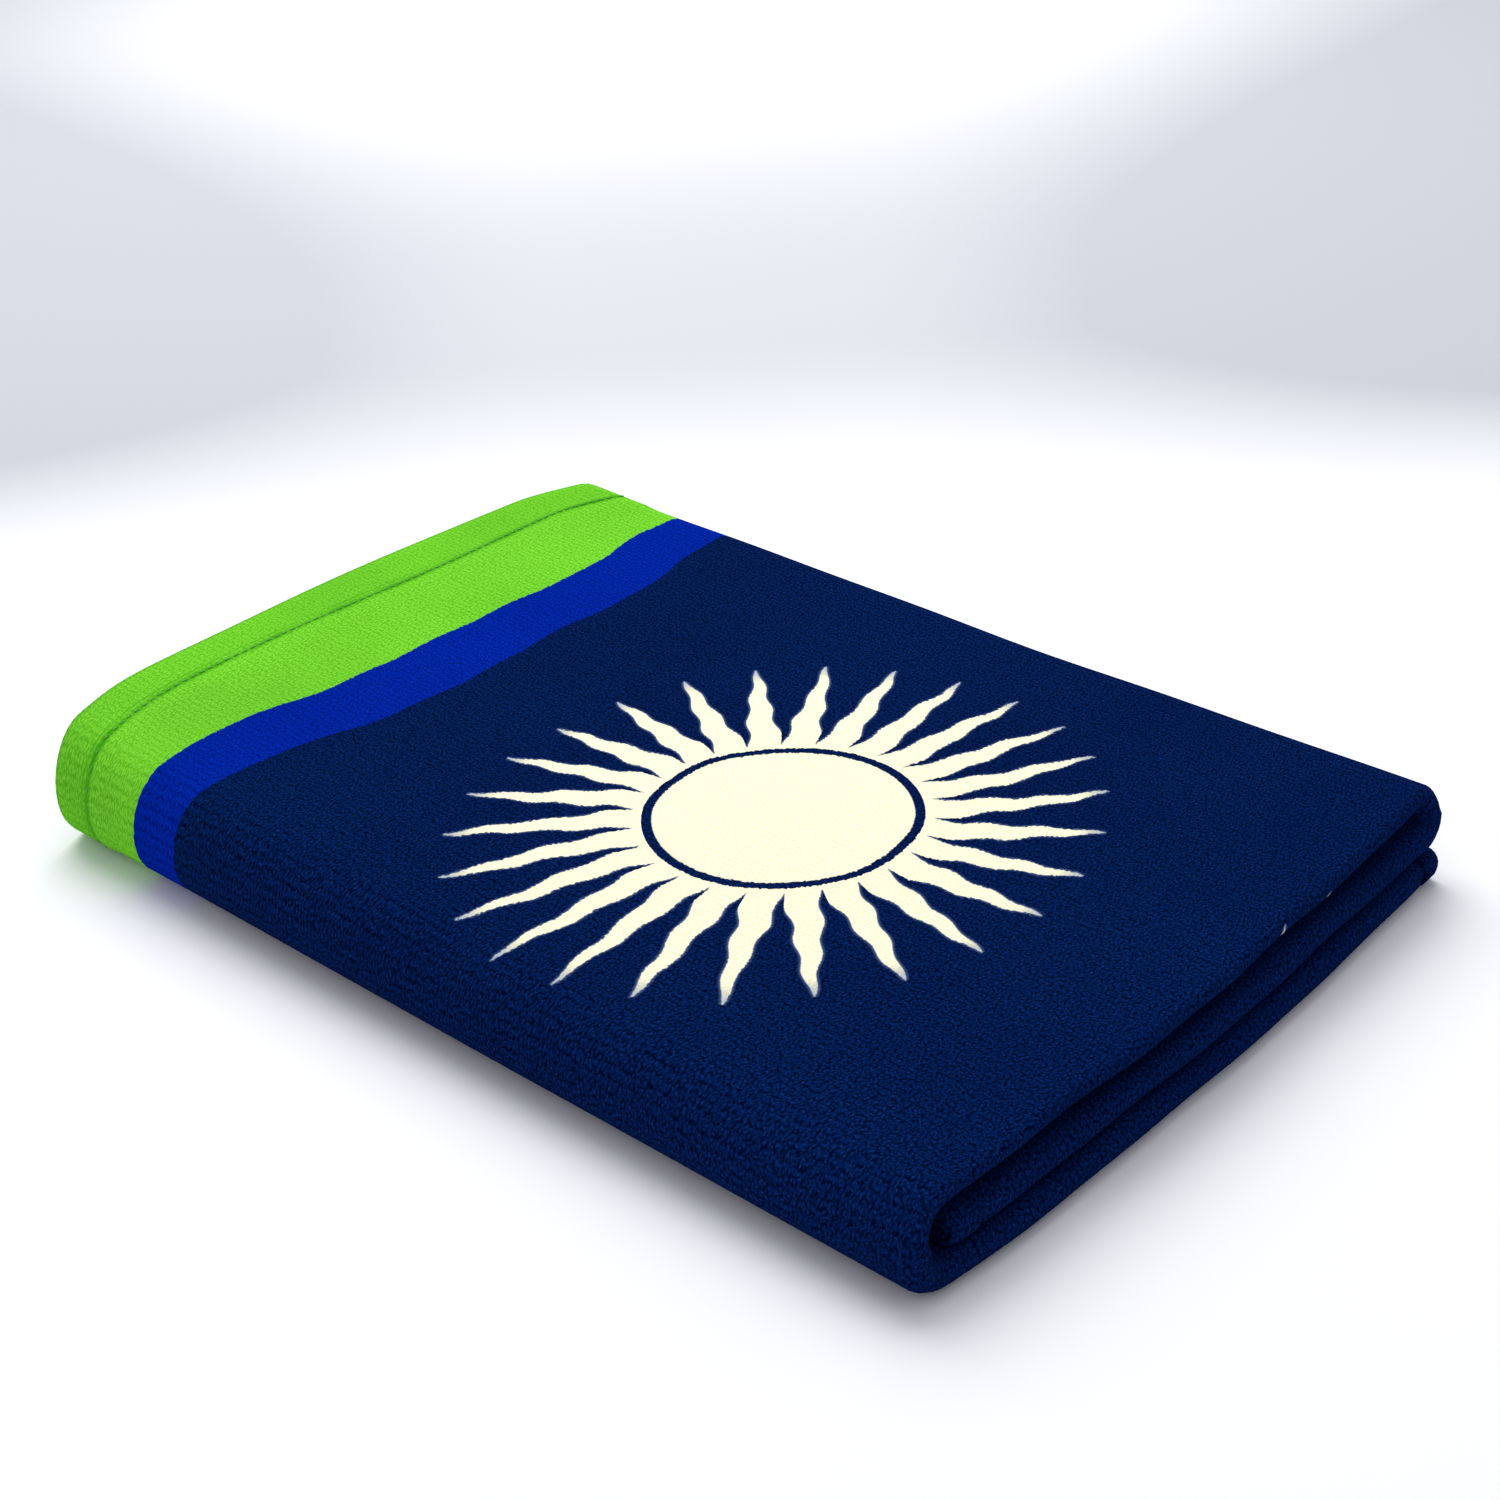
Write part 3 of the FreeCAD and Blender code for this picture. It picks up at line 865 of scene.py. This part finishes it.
    def spots(self, along: np.ndarray, across: np.ndarray, lift: float) -> np.ndarray:
        """Find the places of points of the sheet by their flat measures.

        Args:
            along: Distances along the towel from its hemmed end.
            across: Distances across the towel from its tucked raw edge.
            lift: Distance off the ply's middle, outwards if negative.

        Returns:
            One point for each pair of distances.
        """
        row, out = (pick(along, self.row_length, made) for made in (self.row, self.row_out))
        face, face_out = (
            pick(across, self.face_length, made) for made in (self.face, self.face_out))
        back = np.interp(across, self.face_length, self.back)
        x = row[:, 0] + out[:, 0] * lift
        depth = row[:, 1] + out[:, 1] * lift
        x = self._end_shape(x, depth, back, face_out[:, 1])
        y = face[:, 0] + face_out[:, 0] * depth
        z = face[:, 1] + face_out[:, 1] * depth
        return self.towel.settle(np.stack((x, y, z), axis=-1))

    def along_at(self, x: float) -> float:
        """Distance along the towel of a place on the outer ply."""
        outer = slice(self.edge, int(np.argmax(self.row[:, 0])))
        return float(np.interp(x, self.row[outer, 0], self.row_length[outer]))


@dataclass
class Seams:
    """Stitches of the hems and the side seams, placed on the folded sheet."""

    towel: FoldedTowel
    sheet: Sheet
    pitch: float = 3.4
    stitch: float = 2.5
    thread: float = 0.62
    sunk: float = 0.34
    skin: float = 0.97
    tilt: float = 0.10
    probe: float = 0.4
    probe_out: float = 0.3

    def build(self, bands: Bands, threads: dict[str, bpy.types.Material]) -> None:
        """Build the four seams.

        Args:
            bands: The towel's end bands, which say where the hems' seams run.
            threads: The thread materials by slot.
        """
        template = self._template()
        sheet, towel = self.sheet, self.towel
        width = sheet.face_length[-1]
        side, hem = towel.side_hem * 2 - 0.4, bands.hem_line
        last = bands.length - hem
        crosswise = np.arange(side, width - side, self.pitch)
        lengthwise = np.arange(4.0, last + hem - 4.0, self.pitch)
        wander = bands.seam_sway * np.cos((crosswise - bands.seam_crest) / bands.seam_wave)
        for name, node, along, across, slot in (
            ("outer_hem_seam", "outer_hem_thread", hem + wander, crosswise, Slot.GREEN_THREAD),
            ("inner_hem_seam", "inner_hem_thread", last - wander, crosswise, Slot.GREEN_THREAD),
            ("tucked_side_seam", "tucked_side_thread", lengthwise, side + 0 * lengthwise,
             Slot.NAVY_THREAD),
            ("rear_side_seam", "rear_side_thread", lengthwise, width - side + 0 * lengthwise,
             Slot.NAVY_THREAD),
        ):
            crosses = along is not lengthwise
            seam = self._seam(name, template, along, across, crosses)
            seam.data.materials.append(threads[slot.value])
            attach(seam, "root")
            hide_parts(node)
        bpy.data.objects.remove(template)

    def _template(self) -> bpy.types.Object:
        """Model one stitch: a short thread whose ends dip into the cloth."""
        bpy.ops.object.select_all(action="DESELECT")
        bpy.ops.mesh.primitive_uv_sphere_add(segments=8, ring_count=6, radius=0.5)
        stitch = bpy.context.object
        stitch.name = "stitch_template"
        bpy.ops.transform.rotate(
            value=math.pi / 2, orient_axis="Y", center_override=(0.0, 0.0, 0.0))
        stitch.scale = (self.thread * MM, self.thread * MM, self.stitch * MM)
        bpy.ops.object.transform_apply(location=False, rotation=True, scale=True)
        return stitch

    def _seam(self, name: str, template: bpy.types.Object, along: np.ndarray,
              across: np.ndarray, crosses: bool) -> bpy.types.Object:
        """Stamp the stitch along a line of the sheet, on both of its faces.

        Args:
            name: The piece's name.
            template: The stitch to copy.
            along: Distances along the towel of the stitches.
            across: Distances across the towel of the stitches.
            crosses: Whether the seam runs across the towel.

        Returns:
            The seam, one object.
        """
        ahead = (0.0, self.probe) if crosses else (self.probe, 0.0)
        shape = np.array([v.co for v in template.data.vertices]) / MM
        cells = [tuple(p.vertices) for p in template.data.polygons]
        points, faces = [], []
        for face_side in (-1.0, 1.0):
            off = face_side * (self.towel.cloth / 2 * self.skin - self.sunk)
            here = self.sheet.spots(along, across, off)
            there = self.sheet.spots(along + ahead[0], across + ahead[1], off)
            above = self.sheet.spots(along, across, off + face_side * self.probe_out)
            run = there - here
            run /= np.linalg.norm(run, axis=1)[:, None] + 1e-9
            up = above - here
            up -= run * (up * run).sum(axis=1)[:, None]
            up /= np.linalg.norm(up, axis=1)[:, None] + 1e-9
            side = np.cross(up, run)
            for i in range(len(here)):
                tilt = self.tilt * math.sin(i * GOLDEN_ANGLE)
                line = run[i] + side[i] * tilt
                base = len(points)
                placed = (here[i] + shape[:, :1] * line + shape[:, 1:2] * side[i]
                          + shape[:, 2:] * up[i])
                points.extend((placed * MM).tolist())
                faces.extend(tuple(base + k for k in cell) for cell in cells)
        seam = new_piece(name, points, faces)
        smooth_faces(seam)
        return seam


@dataclass
class CareLabel:
    """The blank care label, tacked to the rear side hem and hanging from it."""

    towel: FoldedTowel
    sheet: Sheet
    columns: int = 17
    rows: int = 9
    top: float = 8.6
    bottom: float = 0.9
    showing: float = 8.4
    tuck: float = 2.4
    bulge: float = 0.9
    flutter: float = 0.5
    clear: float = 0.8
    thickness: float = 0.3
    tack: Spot = (2.4, 0.7, 0.6)

    def build(self, satin: bpy.types.Material, thread: bpy.types.Material) -> None:
        """Hang the blank care label on the rear side hem and tack it."""
        low, high = (np.array(c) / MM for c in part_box("care_label"))
        points, faces = self._ribbon(low, high)
        label = new_piece("satin_label", points, faces)
        thicken(label, self.thickness)
        label.data.materials.append(satin)
        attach(label, "root")
        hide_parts("care_label")
        (self.tuck + self.showing) * MM
        corners = (self.columns - 3, 2)
        self._tacks([Vector(points[column * self.rows + 1]) for column in corners], thread)

    def _ribbon(self, low: np.ndarray, high: np.ndarray) -> tuple[list, list]:
        """Lay out the ribbon's middle surface.

        Args:
            low: The label's lowest corner in the frame, in millimetres.
            high: The label's highest corner in the frame, in millimetres.

        Returns:
            The points in metres, a column at a time from the sewn edge down, and the faces.
        """
        across = np.linspace(low[0], high[0], self.columns)
        along = np.array([self.sheet.along_at(x) for x in across])
        rear_side = float(self.sheet.face_length[-1] - self.towel.side_hem)
        edge = self.sheet.spots(
            along, np.full(self.columns, rear_side), -self.towel.cloth / 2)
        top = self.towel.settle(np.array([[x, high[1], self.top] for x in across]))
        points, faces = [], []
        for i in range(self.columns):
            off = max(top[i, 1], edge[i, 1] + self.clear) + self.thickness
            points.append((top[i, 0] * MM, (off - self.tuck) * MM, (top[i, 2] + 0.2) * MM))
            for share in np.linspace(0.0, 1.0, self.rows - 1):
                z = top[i, 2] * (1.0 - share) + self.bottom * share
                y = off + (self.bulge * math.sin(math.pi * share)
                           + self.flutter * math.sin(i / 3.0) * share)
                points.append((top[i, 0] * MM, y * MM, z * MM))
        for i in range(self.columns - 1):
            for j in range(self.rows - 1):
                k = i * self.rows + j
                faces.append((k, k + 1, k + self.rows + 1, k + self.rows))
        return points, faces

    def _tacks(self, places: list[Vector], thread: bpy.types.Material) -> None:
        """Put a short bar of thread at each of the label's corners."""
        bpy.ops.object.select_all(action="DESELECT")
        made = []
        for place in places:
            bpy.ops.mesh.primitive_uv_sphere_add(segments=12, ring_count=8, radius=0.5)
            tack = bpy.context.object
            tack.scale = [size * MM for size in self.tack]
            tack.location = place + Vector((0.0, 0.3 * MM, 0.0))
            made.append(tack)
        for tack in made:
            tack.select_set(True)
        bpy.ops.object.transform_apply(location=True, rotation=True, scale=True)
        bpy.context.view_layer.objects.active = made[0]
        bpy.ops.object.join()
        tacks = bpy.context.object
        tacks.name = "label_tacks"
        smooth_faces(tacks)
        tacks.data.materials.append(thread)
        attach(tacks, "root")
        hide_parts("label_stitches")


# ---- mesh helpers


def new_piece(name: str, points: list, faces: list) -> bpy.types.Object:
    """Make an object from points in metres and faces, and put it in the scene."""
    mesh = bpy.data.meshes.new(name)
    mesh.from_pydata(points, [], faces)
    piece = bpy.data.objects.new(name, mesh)
    bpy.context.collection.objects.link(piece)
    return piece


def thicken(piece: bpy.types.Object, thickness: float, group: str = "") -> None:
    """Give a surface an even thickness to both sides, or less where a vertex group says so."""
    modifier = piece.modifiers.new("thickness", "SOLIDIFY")
    modifier.thickness, modifier.offset, modifier.vertex_group = thickness * MM, 0.0, group
    apply_modifiers(piece)
    smooth_faces(piece)


def select_only(piece: bpy.types.Object) -> None:
    """Deselect everything and make one object selected and active."""
    bpy.ops.object.select_all(action="DESELECT")
    piece.select_set(True)
    bpy.context.view_layer.objects.active = piece


def apply_modifiers(piece: bpy.types.Object) -> None:
    """Apply all of an object's modifiers in order."""
    select_only(piece)
    for modifier in list(piece.modifiers):
        bpy.ops.object.modifier_apply(modifier=modifier.name)


def smooth_faces(piece: bpy.types.Object) -> None:
    """Shade every face smoothly."""
    piece.data.polygons.foreach_set("use_smooth", [True] * len(piece.data.polygons))
    piece.data.update()


# ---- camera, light and floor


@dataclass
class Studio:
    """Camera, soft lights and a pale floor."""

    azimuth: float = 46.82
    elevation: float = 26.35
    roll: float = -3.145
    distance: float = 0.854
    lens: float = 63.55
    target: Spot = (-0.0382, 0.0509, 0.0)
    glow: float = 0.58
    key: float = 36.0
    fill: float = 1.5

    def build(self) -> None:
        """Make the camera, the lights and the floor."""
        self._camera()
        self._floor()
        self._lights()

    def _camera(self) -> None:
        """Aim the camera at the towel, with its slight roll."""
        turn, tilt, roll = (math.radians(a) for a in (self.azimuth, self.elevation, self.roll))
        back = Vector((math.sin(turn) * math.cos(tilt), -math.cos(turn) * math.cos(tilt),
                       math.sin(tilt)))
        right = Vector((math.cos(turn), math.sin(turn), 0.0))
        above = back.cross(right)
        side = right * math.cos(roll) + above * math.sin(roll)
        head = above * math.cos(roll) - right * math.sin(roll)
        data = bpy.data.cameras.new("view")
        data.lens, data.sensor_width = self.lens, 36.0
        data.clip_start, data.clip_end = 0.01, 50.0
        camera = bpy.data.objects.new("view", data)
        bpy.context.collection.objects.link(camera)
        turned = Matrix((side, head, back)).transposed().to_4x4()
        camera.matrix_world = Matrix.Translation(Vector(self.target) + back * self.distance) @ turned
        bpy.context.scene.camera = camera

    def _floor(self) -> None:
        """Lay the floor, which runs on into a soft grey background; its grey band and greyer sides
        are painted shade.
        """
        bpy.ops.object.select_all(action="DESELECT")
        bpy.ops.mesh.primitive_plane_add(size=16.0, location=(0, 0, 0))
        floor = bpy.context.object
        floor.name = "studio_floor"
        turn = math.radians(self.azimuth)
        kit = NodeKit("studio_floor")
        place = kit.add("ShaderNodeSeparateXYZ", {}, {
            0: kit.add("ShaderNodeTexCoord").out("Object")})
        x, y = place.out("X"), place.out("Y")
        away = y * math.cos(turn) - x * math.sin(turn)
        aside = x * math.cos(turn) + y * math.sin(turn)
        # Painted shade: a grey band farther away that fades towards the far background, and greyer
        # sides.
        grey = away.step(0.20, 0.50) * (1.0 - away.step(0.60, 1.35) * 0.85)
        side = abs(aside) / (away + 0.70)
        grey = grey * 0.8 + away.step(0.15, 0.55) * side.step(0.05, 0.45) * 1.3
        colour = kit.mix(grey, (0.94, 0.94, 0.96, 1), (0.50, 0.51, 0.55, 1))
        floor.data.materials.append(kit.surface(
            {"Roughness": 0.8, "Specular IOR Level": 0.1}, {"Base Color": colour}))

    def _lights(self) -> None:
        """Hang the soft lights and set the world's glow."""
        world = bpy.context.scene.world or bpy.data.worlds.new("studio")
        bpy.context.scene.world = world
        world.use_nodes = True
        background = next(n for n in world.node_tree.nodes if n.type == "BACKGROUND")
        background.inputs["Color"].default_value = (0.93, 0.94, 1.0, 1)
        background.inputs["Strength"].default_value = self.glow
        for name, place, size, power in (
            ("key_light", (-0.9, 0.6, 1.6), 1.9, self.key),
            ("fill_light", (0.2, -1.6, 1.3), 1.6, self.fill),
        ):
            data = bpy.data.lights.new(name, "AREA")
            data.size, data.energy = size, power
            lamp = bpy.data.objects.new(name, data)
            lamp.location = place
            lamp.rotation_mode = "QUATERNION"
            lamp.rotation_quaternion = Vector(place).to_track_quat("Z", "Y")
            bpy.context.collection.objects.link(lamp)


CLOTH_NODES = (
    "outer_end_hem", "green_end_band", "blue_stripe", "navy_field", "outer_right_fold",
    "inner_end_hem", "inner_green_band", "inner_blue_stripe", "second_quarter",
    "inner_right_fold", "third_quarter", "fourth_quarter", "left_middle_fold",
    "tucked_side_hem", "rear_side_hem", "sun_disc", "sun_rays",
)


def terry_finish(towel: FoldedTowel, sheet: Sheet) -> Terry:
    """Read the bands and the sun from the frame and give them to the terry finish."""
    disc_low, disc_high = (np.array(c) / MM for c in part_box("sun_disc"))
    rays_low, rays_high = (np.array(c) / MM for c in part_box("sun_rays"))
    stripe_low, stripe_high = (np.array(c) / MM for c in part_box("blue_stripe"))
    centre = (disc_low + disc_high) / 2
    top = np.nonzero(np.isclose(sheet.face[:, 1], towel.height))[0]
    across = np.interp(-centre[1], -sheet.face[top, 0], sheet.face_length[top])
    radius = (disc_high[0] - disc_low[0]) / 2
    sun = Sun(
        along=sheet.along_at(centre[0]),
        across=float(across),
        disc_radius=radius,
        ring_radius=radius + 3.0,
        tip_radius=(rays_high[1] - rays_low[1]) / 2,
    )
    bands = Bands(
        length=float(sheet.row_length[-1]) - towel.hem - towel.spare,
        green_width=sheet.along_at(stripe_low[0]),
        stripe_end=sheet.along_at(stripe_high[0]),
        hem_line=sheet.along_at(-towel.half_length + towel.hem) - 0.4,
    )
    return Terry(bands, sun)


def main() -> None:
    """Build the towel and its studio."""
    bpy.context.scene.view_settings.view_transform = "Standard"
    towel = FoldedTowel.from_frame()
    sheet = Sheet(towel)
    cloth = sheet.build()
    finish = terry_finish(towel, sheet)
    cloth.data.materials.append(finish.build())
    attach(cloth, "root")
    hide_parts(*CLOTH_NODES)
    length = float(sheet.row_length[-1] - sheet.row_length[0]) * MM
    threads = {
        Slot.GREEN_THREAD.value: Thread("green_thread", (0.09, 0.50, 0.018, 1)).build(),
        Slot.NAVY_THREAD.value: Thread("navy_thread", (0.004, 0.012, 0.06, 1)).build(),
    }
    Seams(towel, sheet).build(finish.bands, threads)
    CareLabel(towel, sheet).build(Satin().build(), threads[Slot.NAVY_THREAD.value])
    Studio().build()


if __name__ == "__main__":
    logging.basicConfig(level=logging.INFO, format="%(message)s")
    main()
